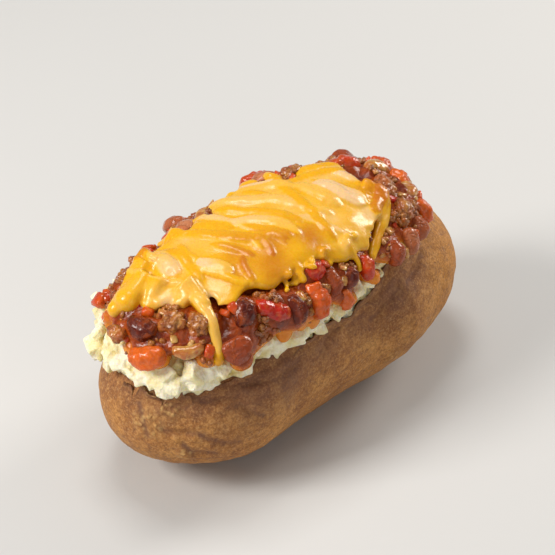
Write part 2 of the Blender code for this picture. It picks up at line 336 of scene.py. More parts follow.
# Each crease: its two ends and its depth, in mm.
creases = (
    ((-48, -25, 45), (-36, -31, 41), 0.9), ((-36, -31, 41), (-24, -32, 43), 0.7),
    ((-52, -26, 38), (-44, -31, 33), 0.5), ((-70, -9, 42), (-62, -17, 38), 0.8),
    ((-70, -13, 33), (-61, -20, 30), 0.7), ((-72, -4, 40), (-71, -9, 29), 0.5),
    ((-60, -21, 41), (-50, -26, 40), 0.7), ((-66, -17, 27), (-58, -24, 21), 0.5),
    ((-14, -33, 42), (-2, -34, 46), 0.7), ((10, -35, 42), (24, -34, 47), 0.6),
    ((30, -33, 47), (44, -28, 49), 0.8), ((-62, -22, 30), (-52, -29, 24), 0.3),
    ((40, 30, 44), (22, 34, 40), 0.4), ((-20, 33, 43), (-40, 29, 41), 0.4),
)


def creaseFinder(tree):
    # points along each crease, laid on the skin, and how deep the crease is at each
    finder = KDTree(len(creases) * skin["creaseSteps"])
    depths = []
    for start, end, depth in creases:
        for number in range(skin["creaseSteps"]):
            share = number / (skin["creaseSteps"] - 1)
            spot = Vector(start).lerp(Vector(end), share) * mm
            wander = Vector([lumps(spot, skin["wanderSize"], seed) for seed in (1.0, 5.0, 9.0)])
            spot += wander * skin["wander"]
            finder.insert(tree.find_nearest(spot)[0], len(depths))
            depths.append(depth * mm * math.sin(math.pi * (0.1 + 0.8 * share)))
    finder.balance()
    return finder, depths


def howFar(place, x, y, z, size):
    # the distance from a place given in mm, in sizes
    return (place - Vector((x, y, z)) * mm).length / (size * mm)


def skinPush(place, finder, depths):
    broad, small = skin["lumpSizes"]
    rise = skin["lump"] * lumps(place, broad, 3.0) + 0.4 * skin["lump"] * lumps(place, small, 8.0)
    along = Vector((place.x * 0.35, place.y, place.z))
    rise += skin["wrinkle"] * lumps(along, skin["wrinkleSize"], 5.0)
    for x, y, z, size, depth in eyes:
        away = howFar(place, x, y, z, size)
        rise -= depth * mm * math.exp(-away * away) * skin["eyeShare"]
    for scab in scabs:
        away = howFar(place, *scab)
        rise += skin["scabRise"] * math.exp(-away ** 4) * (0.6 + pebbles(place, skin["scabGrain"]))
    spot, index, away = finder.find(place)
    groove = skin["groove"] * math.exp(-((away / skin["grooveWidth"]) ** 2))
    lip = skin["lip"] * math.exp(-(((away - skin["lipAway"]) / skin["lipWidth"]) ** 2))
    rise -= depths[index] * (groove - lip)
    if place.z < skin["flatBelow"]:
        rise = min(rise, 0.0)
    return rise


def skinFinish():
    finish = Finish("russetSkin", IOR=1.4, Specular_IOR_Level=0.3)
    alongX = finish.node("ShaderNodeSeparateXYZ", {}, "X", Vector=finish.place)
    upZ = Value(finish.tree, alongX.socket.node.outputs["Z"])
    broad = finish.noise(0.024, 4.0, 0.62)
    patch = finish.noise(0.0075, 4.0, 0.6)
    blotch = finish.noise(0.0036, 4.0, 0.68)
    netting = finish.noise(0.0013, 4.0, 0.70, 0.6)
    speck = finish.noise(0.0008, 3.0, 0.75)
    streak = finish.noise(0.0022, 3.0, 0.6, 0.0, finish.stretched((0.3, 1.0, 1.0)))
    corky = finish.attribute("corky")
    bark = finish.cells(0.0017)
    colour = finish.ramp(
        broad * 0.45 + patch * 0.3 + streak * 0.25,
        (0.38, (0.240, 0.088, 0.030)),
        (0.46, (0.370, 0.146, 0.040)),
        (0.54, (0.500, 0.218, 0.056)),
        (0.64, (0.660, 0.330, 0.096)),
    )
    # painted shade, partly the skin's own darker colour: the skin darker high up under the rim of the filling, less
    # at the +X end
    upper = finish.ranged(upZ + broad * 0.016, 0.038, 0.056)
    # painted light: the +X end warmer and brighter orange, as where light falls on it, with less painted shade
    # there
    litEnd = finish.ranged(alongX, 0.030, 0.066)
    layers = (
        (upper * (1.0 - litEnd * 0.8) * 0.46, (0.220, 0.092, 0.050)),
        (litEnd * finish.ranged(broad, 0.3, 0.7, 0.45, 0.85), (0.680, 0.290, 0.046)),
        (finish.ranged(blotch, 0.52, 0.64) * 0.36, (0.180, 0.074, 0.040)),
        (finish.ranged(blotch, 0.46, 0.34) * 0.34, (0.700, 0.380, 0.140)),
        (finish.ranged(netting, 0.50, 0.70) * 0.40, (0.720, 0.400, 0.150)),
        (finish.ranged(netting, 0.52, 0.34) * 0.55, (0.190, 0.076, 0.030)),
        (finish.ranged(speck, 0.52, 0.64) * 0.38, (0.150, 0.062, 0.026)),
        (finish.ranged(speck, 0.48, 0.38) * 0.26, (0.800, 0.490, 0.210)),
        (finish.attribute("shaded") * finish.ranged(patch, 0.3, 0.6, 0.6, 1.0) * 0.68, (0.140, 0.060, 0.046)),
        (corky * finish.ranged(bark, 0.15, 0.6, 0.9, 0.1), (0.700, 0.440, 0.170)),
        (corky * finish.ranged(bark, 0.35, 0.7, 0.0, 0.6), (0.210, 0.085, 0.036)),
    )
    for share, tone in layers:
        colour = finish.blend(share, colour, tone)
    reliefs = ((netting, 0.00036), (speck, 0.00020), (patch, 0.0006), (corky * (1.0 - bark), 0.0008))
    return finish.done(colour, (netting, 0.3, 0.7, 0.48, 0.74), *reliefs)


def paint(piece, name, amount):
    # a number at every point, for the material to read
    layer = piece.data.attributes.new(name, "FLOAT", "POINT")
    for vertex, item in zip(piece.data.vertices, layer.data):
        item.value = amount(vertex.co)


def corkiness(place):
    most = 0.0
    for scab in scabs:
        away = howFar(place, *scab)
        most = max(most, math.exp(-away ** 3) * (0.4 + 0.6 * pebbles(place, skin["scabGrain"])))
    return min(most, 1.0)


def shadedness(place, finder):
    # dark under the rim and in the creases
    most = 0.0
    for shade in shades:
        away = howFar(place, *shade) + 0.25 * lumps(place, skin["wanderSize"], 12.0)
        most = max(most, math.exp(-away * away))
    crease = math.exp(-((finder.find(place)[2] / skin["shadeWidth"]) ** 2))
    return max(min(most, 1.0), skin["creaseShade"] * crease)


def makeSkin():
    piece = copyOfNode("potatoSkin", "potato")
    remeshed(piece, skin["voxel"], skin["smooth"])
    finder, depths = creaseFinder(treeOf(piece))
    pushed(piece, lambda place, normal: skinPush(place, finder, depths))
    paint(piece, "corky", corkiness)
    paint(piece, "shaded", lambda place: shadedness(place, finder))
    return finished(piece, ["potato"], skinFinish())


potatoSkin = makeSkin()

# Torn skin along the rim, which stands up against the filling or curls away from it.

flaps = {
    "thick": 0.0006, "across": 26, "up": 9, "first": 60,
    "last": 104, "skinNear": 0.0002, "ragged": 0.34, "torn": 0.20,
    "uneven": 0.5, "sunkEdge": -0.0008, "sunkSheet": -0.0001,
}

# Each flap: bearing, half width, how far it starts below the rim and ends above it, all in degrees, and curl in mm.
flapPlaces = (
    (-165, 9, 10, 2, 4.4), (-180, 5, 8, 2, 3.2), (-149, 7, 8, 1, 2.4), (-131, 9, 6, 2, 1.2),
    (-112, 16, 6, 4, 0.5), (-90, 18, 6, 9, 0.5), (-66, 18, 6, 10, 0.6), (-44, 14, 6, 6, 1.2),
    (-20, 14, 6, 6, 2.6), (8, 16, 6, 4, 1.6), (150, 10, 6, 2, 1.6), (96, 16, 6, 3, 1.0),
    (44, 16, 6, 4, 1.4),
)


def rimReach(tree, skinTree, bearing):
    # the reach where the filling ends and the skin begins
    reach = flaps["first"]
    while reach < flaps["last"]:
        spot = onHeap(tree, bearing, reach)[0]
        if spot is not None and skinTree.find_nearest(spot)[3] < flaps["skinNear"]:
            break
        reach += 1
    return reach


def makeFlap(tree, skinTree, bearing, half, below, above, curl):
    # a sheet from below the rim up over it, ragged at its upper edge
    bpy.ops.mesh.primitive_grid_add(x_subdivisions=flaps["across"], y_subdivisions=flaps["up"], size=1.0)
    sheet = bpy.context.object
    corky = sheet.data.attributes.new("corky", "FLOAT", "POINT")
    shaded = sheet.data.attributes.new("shaded", "FLOAT", "POINT")
    rims = {}
    for vertex in sheet.data.vertices:
        key = round(vertex.co.x, 4)
        if key not in rims:
            rims[key] = rimReach(tree, skinTree, bearing + vertex.co.x * 2.0 * half)
    steady = sorted(rims.values())[len(rims) // 2]
    for vertex, dark, bark in zip(sheet.data.vertices, shaded.data, corky.data):
        along = vertex.co.x * 2.0
        up = vertex.co.y + 0.5
        rim = 0.5 * rims[round(vertex.co.x, 4)] + 0.5 * steady
        ragged = 0.74 + flaps["ragged"] * lumps(Vector((along * 2.2, 0.3, bearing)), 1.0)
        ragged += flaps["torn"] * lumps(Vector((along * 7.0, 3.0, bearing)), 1.0)
        share = up * ragged * (1.0 - along ** 4)
        spot, normal = onHeap(tree, bearing + along * half, rim + below - (below + above) * share)
        unevenCurl = 1.0 + flaps["uneven"] * lumps(Vector((along * 3.0, 9.0, bearing)), 1.0)
        lift = curl * mm * share ** 2 * unevenCurl
        vertex.co = spot + normal * (lift + flaps["sunkSheet"] if up > 0.12 else flaps["sunkEdge"])
        dark.value = 0.25 + 0.75 * step(0.5, 1.0, up)
        bark.value = 0.5 * step(0.9, 1.0, up)
    applied(sheet, "SOLIDIFY", thickness=flaps["thick"], offset=0.0)
    applied(sheet, "SUBSURF", levels=1, render_levels=1)
    return sheet


def makeFlaps(tree, skinTree):
    piece = joined("skinFlaps", [makeFlap(tree, skinTree, *place) for place in flapPlaces])
    return finished(piece, [], potatoSkin.data.materials[0])


makeFlaps(treeOf(potatoSkin, nodes["flesh"], nodes["chili"]), treeOf(potatoSkin))

# Flesh: a lumpy core, and chunks of crumbled flesh along the edge where it is bare.

flesh = {
    "voxel": 0.0009, "crumb": 0.0038, "depth": 0.0019, "sink": 0.0016,
    "chunks": 430, "chunkVoxel": 0.00048, "chunkKinds": 9, "chunkLength": (0.3, 1.1, 0.6),
    "chunkWidth": (0.6, 0.95), "chunkHeight": (0.5, 0.85), "chunkLift": (0.04, 0.46), "chunkTop": 0.0026,
}

# Where the chunks lie: bearing, reach, half widths of both, share of the chunks, size in mm.
chunkBands = (
    (-142, 90, 17, 9, 0.16, 8.2), (-168, 84, 12, 9, 0.10, 6.0), (166, 80, 14, 9, 0.10, 5.4),
    (140, 76, 12, 14, 0.10, 7.2), (-116, 83, 11, 5, 0.10, 6.8), (-94, 79, 10, 5, 0.09, 5.8),
    (-73, 77, 9, 5, 0.08, 5.4), (-53, 73, 7, 4, 0.03, 4.6), (-61, 71, 3, 3, 0.012, 8.0),
    (112, 74, 22, 17, 0.17, 5.6), (78, 70, 20, 20, 0.15, 5.2), (44, 76, 16, 12, 0.06, 4.6),
)


def fleshPush(place, normal):
    rise = flesh["depth"] * (pebbles(place, flesh["crumb"]) - 0.5)
    return rise + 0.4 * flesh["depth"] * (pebbles(place, flesh["crumb"] * 0.45) - 0.5) - flesh["sink"]


def fleshFinish():
    finish = Finish("cookedFlesh", glow=(0.40, (1.0, 0.80, 0.40), 0.0016), IOR=1.38)
    broad = finish.noise(0.0065, 3.0, 0.55)
    fine = finish.noise(0.0009)
    grain = finish.cells(0.0011)
    deep = finish.attribute("deep")
    colour = finish.blend(finish.ranged(broad, 0.40, 0.62) * 0.7, (0.930, 0.870, 0.660), (0.830, 0.720, 0.320))
    # painted shade: darker yellow where deep is high, in the gaps between crumbs and where chunks lie close to the
    # core
    colour = finish.blend(deep * 0.92, colour, (0.700, 0.560, 0.190))
    colour = finish.blend(finish.ranged(fine, 0.5, 0.75) * 0.5, colour, (0.960, 0.930, 0.800))
    return finish.done(colour, (fine, 0.35, 0.65, 0.34, 0.55), (grain, 0.00035), (fine, 0.00025))


def makeFleshCore(material):
    piece = copyOfNode("fleshCore", "flesh")
    remeshed(piece, flesh["voxel"], 3)
    pushed(piece, fleshPush)
    # deep: painted shade in the hollows between the core's crumbs
    paint(piece, "deep", lambda place: 0.9 - 0.8 * pebbles(place, flesh["crumb"]))
    return finished(piece, ["flesh"], material)


def chunkShapes(count, seed):
    # blocky broken crumbs of about unit size
    shapes = []
    for number in range(count):
        bpy.ops.mesh.primitive_cube_add(size=0.95, location=(0, 0, 0))
        shape = bpy.context.object

        def breakUp():
            bpy.ops.transform.vertex_random(offset=0.24, uniform=0.0, seed=seed + number)
            bpy.ops.mesh.subdivide(number_cuts=1, smoothness=0.0)
            bpy.ops.transform.vertex_random(offset=0.035, uniform=0.0, seed=seed + 50 + number)

        def soften():
            bpy.ops.mesh.select_all(action="DESELECT")
            bpy.ops.mesh.edges_select_sharp(sharpness=math.radians(50))
            bpy.ops.mesh.bevel(offset=0.11, segments=2, affect="EDGES", clamp_overlap=True)

        inEdit(shape, breakUp)
        inEdit(shape, soften)
        shapes.append(shape)
    return shapes


def scattered(name, shapes, places):
    # places are location, turn and scale; the first shapes are dropped at the end
    copies = []
    chance = random.Random(len(places))
    for location, turn, scale in places:
        shape = chance.choice(shapes)
        copy = bpy.data.objects.new(name, shape.data.copy())
        bpy.context.scene.collection.objects.link(copy)
        copy.data.transform(Matrix.LocRotScale(location, turn, scale))
        copies.append(copy)
    for shape in shapes:
        bpy.data.objects.remove(shape, do_unlink=True)
    return joined(name, copies)


def anyTurn(chance):
    return Euler([chance.uniform(-3.14, 3.14) for axis in range(3)]).to_quaternion()


def chunkPlaces(tree, chance):
    places = []
    for bearing, reach, wide, tall, share, size in chunkBands:
        for number in range(round(share * flesh["chunks"])):
            hit, normal = onHeap(tree, bearing + chance.uniform(-wide, wide), reach + chance.uniform(-tall, tall))
            if hit is None:
                continue
            length = size * mm * chance.triangular(*flesh["chunkLength"])
            width = length * chance.uniform(*flesh["chunkWidth"])
            height = length * chance.uniform(*flesh["chunkHeight"])
            place = hit + normal * length * chance.uniform(*flesh["chunkLift"])
            places.append((place, anyTurn(chance), Vector((length, width, height))))
    return places


def makeFleshChunks(material, core):
    coreTree = treeOf(core)
    places = chunkPlaces(coreTree, random.Random(11))
    piece = scattered("fleshChunks", chunkShapes(flesh["chunkKinds"], 40), places)
    remeshed(piece, flesh["chunkVoxel"], 1, 0.25)
    # deep: painted shade on the parts of chunks that lie close to the core
    paint(piece, "deep", lambda place: 1.0 - step(0.0002, flesh["chunkTop"], coreTree.find_nearest(place)[3]))
    return finished(piece, [], material)


cookedFlesh = fleshFinish()
fleshCore = makeFleshCore(cookedFlesh)
fleshChunks = makeFleshChunks(cookedFlesh, fleshCore)

# Toppings: beans, tomato, mince and onion that lie in the sauce.

# Tone of each: beans from maroon 0 to salmon 1, tomatoes from red 0 to orange 1.
tones = {
    "bean": (0.20, 0.05, 0.60, 0.25, 0.55, 0.15, 0.70, 0.88, 0.82, 1.00, 1.00, 0.85, 0.60),
    "tomato": (0.10, 0.80, 0.10, 0.20, 0.65, 0.95, 0.40, 0.45, 0.90, 0.70, 0.50, 0.60),
}
kinds = table(
    "count grow lump lumpSize fine fineSize grain grainSize",
    bean=(13, 0.0004, 0.0006, 0.0050, 0.00006, 0.0016),
    tomato=(12, 0.0004, 0.0008, 0.0032, 0.00025, 0.0011),
    mince=(7, 0.0002, 0.0008, 0.0040, 0.00030, 0.0010, 0.0011, 0.0024),
    onion=(4, 0.0003, 0.0005, 0.0040, 0.00012, 0.0012),
)
toppingVoxel = 0.00042


def toppingPush(kind, number):
    sizes = kinds[kind]

    def push(place, normal):
        rise = sizes["grow"] + sizes["lump"] * lumps(place, sizes["lumpSize"], number)
        if "grain" in sizes:
            rise += sizes["grain"] * (pebbles(place, sizes["grainSize"]) - 0.5)
        return rise + sizes["fine"] * lumps(place, sizes["fineSize"], number)

    return push


def makeToppings(kind, material):
    parts = []
    names = [f"{kind}_{number:02d}" for number in range(1, kinds[kind]["count"] + 1)]
    for number, name in enumerate(names):
        part = copyOfNode(name + "_look", name)
        remeshed(part, toppingVoxel, 7)
        pushed(part, toppingPush(kind, number + 1))
        if kind in tones:
            paint(part, "tone", lambda place: tones[kind][number])
        parts.append(part)
    return finished(joined(kind + "s", parts), names, material)


def beanFinish():
    finish = Finish("kidneyBean", coat=(0.42, 0.06), Specular_IOR_Level=0.25, Coat_IOR=1.4, IOR=1.42)
    tone = finish.attribute("tone")
    soft = finish.noise(0.004)
    fine = finish.noise(0.0012)
    colour = finish.blend(finish.ranged(tone, 0.1, 0.7), (0.070, 0.007, 0.004), (0.310, 0.052, 0.012))
    colour = finish.blend(finish.ranged(tone, 0.7, 1.0), colour, (0.520, 0.190, 0.080))
    colour = finish.blend(finish.ranged(soft, 0.45, 0.7) * 0.6, colour, (0.300, 0.050, 0.016))
    colour, mask = finish.sauced(colour, 0.42)
    return finish.done(colour, (fine, 0.3, 0.7, 0.14, 0.34), (soft, 0.0004), (mask, 0.0003), (fine, 0.00008))


def tomatoFinish():
    glow = (0.20, (1.0, 0.2, 0.05), 0.0015)
    finish = Finish("stewedTomato", glow=glow, coat=(0.5, 0.05), Specular_IOR_Level=0.35, IOR=1.40)
    tone = finish.attribute("tone")
    soft = finish.noise(0.003)
    fine = finish.noise(0.0008)
    colour = finish.blend(finish.ranged(tone, 0.2, 0.9), (0.450, 0.010, 0.003), (0.680, 0.120, 0.006))
    colour = finish.blend(finish.ranged(soft, 0.5, 0.75) * 0.6, colour, (0.740, 0.160, 0.010))
    colour = finish.sauced(colour, 0.40)[0]
    return finish.done(colour, (fine, 0.3, 0.7, 0.16, 0.40), (soft, 0.0003), (fine, 0.00016))


def minceFinish():
    finish = Finish("stewedMince", coat=(0.6, 0.08), Specular_IOR_Level=0.4, IOR=1.42)
    soft = finish.noise(0.0035)
    fine = finish.noise(0.0007, 3.0, 0.65)
    grain = finish.cells(0.0010)
    colour = finish.ramp(
        soft * 0.55 + fine * 0.45,
        (0.30, (0.092, 0.020, 0.005)),
        (0.42, (0.235, 0.064, 0.012)),
        (0.54, (0.403, 0.143, 0.024)),
        (0.68, (0.622, 0.302, 0.059)),
    )
    colour = finish.sauced(colour, 0.55, 0.005)[0]
    return finish.done(colour, (fine, 0.3, 0.7, 0.16, 0.45), (grain, 0.0003), (fine, 0.0002))


def onionFinish():
    finish = Finish("stewedOnion", glow=(0.4, (1.0, 0.6, 0.25), 0.0025), coat=(0.7, 0.06), IOR=1.40)
    soft = finish.noise(0.003)
    streak = finish.noise(0.0012, 3.0, 0.6, 0.0, finish.stretched((0.4, 1.0, 1.0)))
    colour = finish.blend(finish.ranged(soft, 0.38, 0.66), (0.480, 0.200, 0.036), (0.640, 0.370, 0.100))
    colour = finish.blend(finish.ranged(streak, 0.5, 0.75) * 0.5, colour, (0.400, 0.140, 0.030))
    colour = finish.sauced(colour, 0.65)[0]
    return finish.done(colour, (streak, 0.3, 0.7, 0.14, 0.35), (streak, 0.0003))


looks = {"bean": beanFinish, "tomato": tomatoFinish, "mince": minceFinish, "onion": onionFinish}
toppings = {kind: makeToppings(kind, look()) for kind, look in looks.items()}
toppingTree = treeOf(*toppings.values())

# Curves: paths, ropes and the balls that round their ends.


def curveAt(points, index, share):
    # a place on the Catmull-Rom curve between two of its points
    before, start, end, after = points[index - 1 : index + 3]
    return 0.5 * (
        2 * start
        + (end - before) * share
        + (2 * before - 5 * start + 4 * end - after) * share ** 2
        + (3 * start - before - 3 * end + after) * share ** 3
    )


def smoothPath(points, spacing, widths=None):
    # places about spacing apart on a curve through the points, with the width at each where widths are given
    ends = [points[0] * 2 - points[1], *points, points[-1] * 2 - points[-2]]
    wide = [widths[0], *widths, widths[-1]] if widths else None
    path = []
    radii = []
    for index in range(1, len(ends) - 2):
        steps = max(2, int((ends[index + 1] - ends[index]).length / spacing))
        for number in range(steps):
            path.append(curveAt(ends, index, number / steps))
            if wide:
                radii.append(curveAt(wide, index, number / steps).x)
    path.append(points[-1].copy())
    if wide:
        return path, radii + [widths[-1].x]
    return path


def ball(place, radius, segments, rings):
    bpy.ops.mesh.primitive_uv_sphere_add(segments=segments, ring_count=rings, radius=radius, location=place)
    bpy.ops.object.transform_apply(location=True, rotation=False, scale=False)
    return bpy.context.object


def tube(path, radii, tip):
    # a rope along the path, and a ball of radius tip at its end
    bpy.ops.curve.primitive_nurbs_path_add()
    rope = bpy.context.object
    line = rope.data
    line.splines.clear()
    spline = line.splines.new("POLY")
    spline.points.add(len(path) - 1)
    for point, place, radius in zip(spline.points, path, radii):
        point.co = (*place, 1.0)
        point.radius = radius
    line.bevel_depth = 1.0
    line.bevel_resolution = 3
    line.use_fill_caps = True
    rope.location = (0, 0, 0)
    pick(rope)
    bpy.ops.object.convert(target="MESH")
    return [bpy.context.object, ball(path[-1], tip, 16, 10)]


# Sauce with fine meat in it.

sauce = {
    "voxel": 0.00075, "smooth": 8, "lump": 0.0008, "lumpSize": 0.0050,
    "sink": 0.0001, "grain": 0.0008, "grainSizes": (0.0026, 0.0012), "grainFrom": (0.052, 0.060),
    "climb": 0.0029, "climbReach": 0.0030, "runSpacing": 0.0008, "runSink": 0.25,
    "thinFrom": (0.0015, 0.0055), "thinBelow": (0.054, 0.064),
}

# Runs of sauce down over the flesh: bearing, first reach, last reach, radius in mm.
runs = (
    (170, 56, 63, 3.0), (180, 56, 67, 3.0), (-171, 58, 71, 3.4), (-162, 58, 70, 3.2), (-152, 56, 64, 3.0),
    (-144, 58, 68, 3.0), (-137, 58, 70, 2.6), (-131, 60, 74, 3.0), (-125, 60, 78, 3.4), (-119, 58, 73, 2.8),
    (-110, 58, 76, 3.0), (-104, 60, 73, 2.4), (-99, 60, 78, 3.0), (-90, 58, 68, 2.4), (-83, 58, 78, 2.4),
    (-74, 56, 74, 2.4), (-62, 56, 72, 2.8), (-48, 60, 80, 3.0), (-30, 62, 82, 3.4), (-12, 64, 86, 3.4),
    (8, 62, 84, 3.2), (28, 60, 76, 3.0), (52, 54, 66, 3.0), (74, 50, 60, 2.8), (96, 50, 60, 3.0),
    (118, 50, 62, 2.8), (138, 54, 64, 2.8), (154, 56, 66, 2.6),
)


def sauceRuns(fleshTree):
    parts = []
    for bearing, first, last, radius in runs:
        points = []
        for number in range(4):
            hit, normal = onHeap(fleshTree, bearing, first + (last - first) * number / 3)
            points.append(hit - normal * radius * sauce["runSink"] * mm)
        path = smoothPath(points, sauce["runSpacing"])
        radii = [radius * mm * (0.75 + 0.25 * index / len(path)) for index in range(len(path))]
        parts += tube(path, radii, radius * mm)
    return parts


def saucePush(place, normal):
    # grainy high up in patches, and drawn up against every topping
    coarse, fine = sauce["grainSizes"]
    grainy = step(-0.1, 0.35, lumps(place, 0.009, 2.0)) * step(*sauce["grainFrom"], place.z)
    rise = sauce["lump"] * lumps(place, sauce["lumpSize"], 4.0) - sauce["sink"]
    rise += grainy * sauce["grain"] * (pebbles(place, coarse) - 0.4)
    rise += grainy * 0.35 * sauce["grain"] * (pebbles(place, fine) - 0.4)
    gap = toppingTree.find_nearest(place, 2.0 * sauce["climbReach"])[3]
    if gap is not None:
        rise += sauce["climb"] * math.exp(-((gap / sauce["climbReach"]) ** 2))
    return rise


def sauceFinish():
    glow = (0.30, (1.0, 0.3, 0.08), 0.002)
    finish = Finish("chiliSauce", glow=glow, coat=(0.20, 0.05), Specular_IOR_Level=0.35, IOR=1.42)
    soft = finish.noise(0.005)
    fine = finish.noise(0.0012)
    thin = finish.attribute("thin")
    colour = finish.ramp(
        soft * 0.45 + fine * 0.20 + thin * 0.52,
        (0.26, (0.165, 0.019, 0.003)),
        (0.38, (0.330, 0.054, 0.005)),
        (0.52, (0.520, 0.120, 0.007)),
        (0.74, (0.740, 0.245, 0.015)),
    )
    return finish.done(colour, (fine, 0.3, 0.7, 0.10, 0.34), (soft, 0.0004), (fine, 0.0003))


def thinness(fleshTree, place):
    # 1 where the flesh shines through the sauce, most of all low down
    away = fleshTree.find_nearest(place)[3]
    low = 1.0 - step(*sauce["thinBelow"], place.z)
    return (1.0 - step(*sauce["thinFrom"], away)) * (0.35 + 0.65 * low)


def makeSauce(fleshTree):
    piece = joined("chiliSauce", [copyOfNode("chiliSauce", "chili")] + sauceRuns(fleshTree))
    remeshed(piece, sauce["voxel"], sauce["smooth"])
    pushed(piece, saucePush)
    smoothed(piece, 0.4, 1)
    paint(piece, "thin", lambda place: thinness(fleshTree, place))
    return finished(piece, ["chili"], sauceFinish())


chiliSauce = makeSauce(treeOf(fleshCore, fleshChunks))

# Loose bits in the sauce, one piece for each kind. Sizes are in mm, and round is 0 for a cube.

bits = table(
    "count size flat sink patch seed hold round rough",
    mince=(620, (1.4, 3.2), (0.5, 0.9), 0.30, 0.008, 2.0, 0.15, 2, 0.19),
    tomato=(70, (2.2, 5.0), (0.4, 0.7), 0.20, 0.012, 9.0, 0.0, 0, 0.09),
    onion=(28, (2.0, 4.4), (0.25, 0.45), 0.10, 0.012, 14.0, 0.0, 0, 0.05),
    seed=(40, (0.9, 1.3), (0.4, 0.5), 0.10, 0.010, 21.0, 0.0, 1, 0.03),
)
# Clear is where the look upwards starts, cover is how near above something hides the spot.
bitLimits = {"shapes": 6, "tries": 40000, "steepest": -0.15, "clear": 0.0003, "cover": 0.02, "width": (0.5, 0.9)}


def bitShapes(kind):
    shapes = []
    sizes = bits[kind]
    for number in range(bitLimits["shapes"]):
        if sizes["round"]:
            bpy.ops.mesh.primitive_ico_sphere_add(subdivisions=sizes["round"], radius=0.5, location=(0, 0, 0))
        else:
            bpy.ops.mesh.primitive_cube_add(size=0.8, location=(0, 0, 0))
        shape = bpy.context.object

        def roughen():
            if not sizes["round"]:
                bpy.ops.transform.vertex_random(offset=0.16, uniform=0.0, seed=60 + number)
                bpy.ops.mesh.subdivide(number_cuts=2, smoothness=0.35)
            bpy.ops.transform.vertex_random(offset=sizes["rough"], uniform=0.0, seed=90 + number)

        inEdit(shape, roughen)
        shapes.append(shape)
    return shapes


def bitPlaces(kind, ground, cover):
    # on the sauce wherever cheese and toppings leave it bare, thickest where its patches are
    sizes = bits[kind]
    chance = random.Random(kind)
    faces = ground.data.polygons
    places = []
    tries = 0
    while len(places) < sizes["count"] and tries < bitLimits["tries"]:
        tries += 1
        face = faces[chance.randrange(len(faces))]
        spot = face.center.copy()
        if face.normal.z < bitLimits["steepest"]:
            continue
        if lumps(spot, sizes["patch"], sizes["seed"]) < chance.uniform(-0.2, 0.2) + sizes["hold"]:
            continue
        above = spot + face.normal * bitLimits["clear"]
        if cover.ray_cast(above, Vector((0, 0, 1)), bitLimits["cover"])[0] is not None:
            continue
        length = chance.uniform(*sizes["size"]) * mm
        flat = chance.uniform(*sizes["flat"])
        tilt = Euler((chance.gauss(0, 0.3), chance.gauss(0, 0.3), chance.uniform(-3.14, 3.14)))
        turn = face.normal.to_track_quat("Z", "Y") @ tilt.to_quaternion()
        scale = Vector((length, length * chance.uniform(*bitLimits["width"]), length * flat))
        places.append((spot + face.normal * length * flat * (0.35 - sizes["sink"]), turn, scale))
    return places


def seedFinish():
    finish = Finish("tomatoSeed", Roughness=0.2, Coat_Weight=0.4, Subsurface_Weight=0.3, Subsurface_Scale=0.001)
    soft = finish.noise(0.002, 2.0, 0.5)
    colour = finish.blend(finish.ranged(soft, 0.4, 0.6), (0.740, 0.400, 0.080), (0.660, 0.240, 0.030))
    finish.set("Base Color", colour)
    finish.relief((soft, 0.0001))
    return finish.material


def makeBits(kind, name, material, cover):
    piece = scattered(name, bitShapes(kind), bitPlaces(kind, chiliSauce, cover))
    if kind in tones:
        paint(piece, "tone", lambda place: 0.5 + 0.5 * lumps(place, 0.006, 4.0))
    return finished(piece, [], material)


# Cheese: a sheet with strands melted into it, and ribbons that hang over its edge.

cheese = {
    "voxel": 0.0006, "rise": 0.44, "overlap": (0.75, 0.55), "find": 0.0042,
    "count": 40, "spacing": 0.0005, "wave": 0.0006, "waveSize": 0.007,
    "slacken": 3, "ribbonSpacing": 0.0006, "ribbonHold": 0.0026, "ribbonTip": 1.1,
    "froth": 34, "frothSize": (0.7, 1.5), "plain": 0.68, "mottle": 0.7,
    "mottleSize": 0.009, "lowTint": 0.5, "lowFrom": (0.006, 0.015),
}

# Where the sheet ends early over the chili: bearing, reach, and half widths of what is cut out.
notches = ((-129, 57, (0.0115, 0.0105, 0.0095)), (-62.5, 53, (0.0085, 0.0070, 0.0066)))

# Strands that stand out: tint from pale 0 to golden 1 to amber 2, radius in mm, and where they run in mm.
strands = (
    (0.25, 2.5, ((-24, 23), (-20, 13), (-18, 5), (-12, 0), (-8, -8), (-7, -15))),
    (1.0, 2.4, ((-19, 22), (-12, 9), (-5, -3), (-2, -12))),
    (0.4, 2.7, ((-14, 21), (-6, 11), (2, 3), (4, -6))),
    (1.0, 2.8, ((-34, 18), (-29, 9), (-24, 0), (-17, -9))),
    (1.0, 2.6, ((-28, 20), (-24, 10), (-20, 2))),
    (1.0, 2.0, ((-44, 14), (-41, 8), (-43, 0), (-46, -8))),
    (0.2, 3.8, ((-46, 13), (-47, 7), (-49, 2))),
    (0.0, 2.8, ((-40, -1), (-37, -6), (-36, -11))),
    (1.2, 1.8, ((-52, 16), (-46, 17), (-38, 20))),
    (1.0, 2.1, ((9, 12), (8, 4), (5, -8), (3, -17), (2, -23))),
    (0.0, 4.2, ((18, 0), (20, -8), (24, -16))),
    (0.5, 2.8, ((13, 5), (14, -5), (15, -13))),
    (0.0, 3.0, ((26, 6), (30, 1), (31, -7))),
    (0.6, 2.4, ((-2, 18), (8, 10), (12, 3))),
    (1.0, 2.6, ((8, 15), (20, 11), (32, 6), (41, 2))),
    (0.9, 2.2, ((2, 20), (14, 17), (26, 14))),
    (1.0, 2.0, ((12, 8), (22, 5), (33, 0), (38, -6))),
    (1.5, 2.8, ((36, -4), (38, -9), (36, -14), (30, -18), (24, -21))),
    (0.1, 1.6, ((-4, 24), (2, 17), (10, 12))),
    (0.9, 1.7, ((-40, 22), (-32, 22), (-22, 24))),
)

# Where the sheet is thin and lets the sauce through: place, width and amount.
pools = (
    (-31, -12, 9, 0.75), (-20, -17, 7, 0.80), (-12, -13, 9, 0.35), (-4, -20, 6, 0.70),
    (34, -13, 8, 0.75), (-45, 18, 8, 0.50), (-26, -4, 7, 0.30),
)

